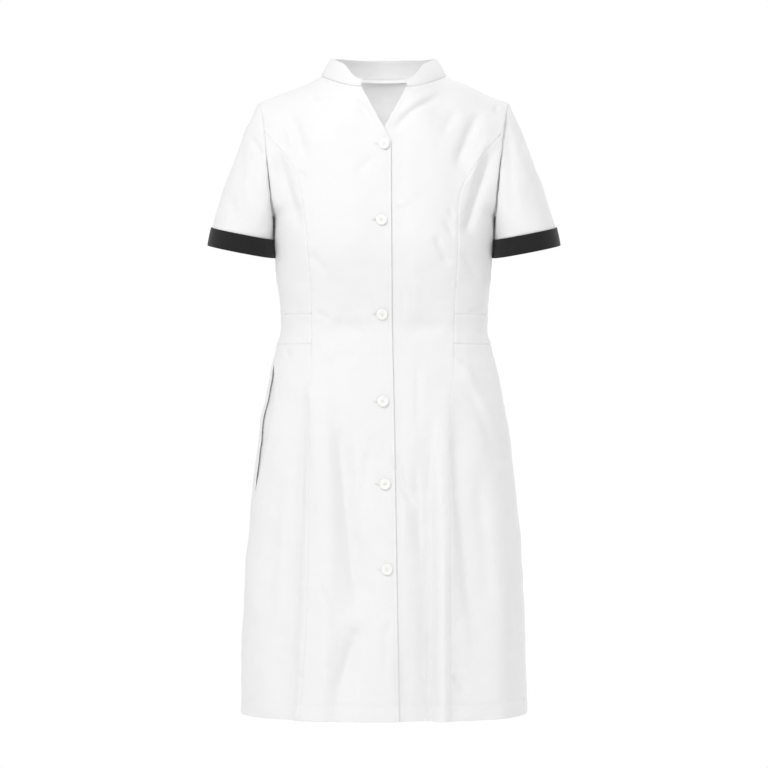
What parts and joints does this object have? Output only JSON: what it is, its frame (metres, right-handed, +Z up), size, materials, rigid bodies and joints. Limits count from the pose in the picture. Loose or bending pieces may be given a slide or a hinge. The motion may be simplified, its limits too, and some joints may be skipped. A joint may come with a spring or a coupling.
{
  "type": "uniform dress",
  "caption": "Knee-length uniform dress in its worn, hollow form: short cuffed sleeves, low stand collar, V neck, buttoned front lap, princess seams and a flared skirt with side pockets.",
  "frame": {"origin": "midway between the shoulders at the height of the neck, where the wearer holds the dress up", "axes": "+Z up, -Y the front of the dress, +X the wearer's left"},
  "size_m": [0.5472, 0.3305, 1.0142],
  "materials": {
    "white_cloth": "matt plain-woven poplin",
    "black_cloth": "matt plain-woven cloth",
    "white_button": "polished domed buttons"
  },
  "bodies": {
    "root": {"back_bodice": "white_cloth", "back_skirt": "white_cloth", "back_waistband": "white_cloth", "button_1": "white_button", "button_2": "white_button", "button_3": "white_button", "button_4": "white_button", "button_5": "white_button", "button_6": "white_button", "cuff_left": "black_cloth", "cuff_right": "black_cloth", "front_left": "white_cloth", "front_right": "white_cloth", "hanger_loop": "white_cloth", "pocket_bag_left": "white_cloth", "pocket_bag_right": "white_cloth", "side_bodice_left": "white_cloth", "side_bodice_right": "white_cloth", "side_skirt_left": "white_cloth", "side_skirt_right": "white_cloth", "sleeve_left": "white_cloth", "sleeve_right": "white_cloth", "stand_collar": "white_cloth", "waist_inset_left": "white_cloth", "waist_inset_right": "white_cloth"}
  },
  "joints": []
}
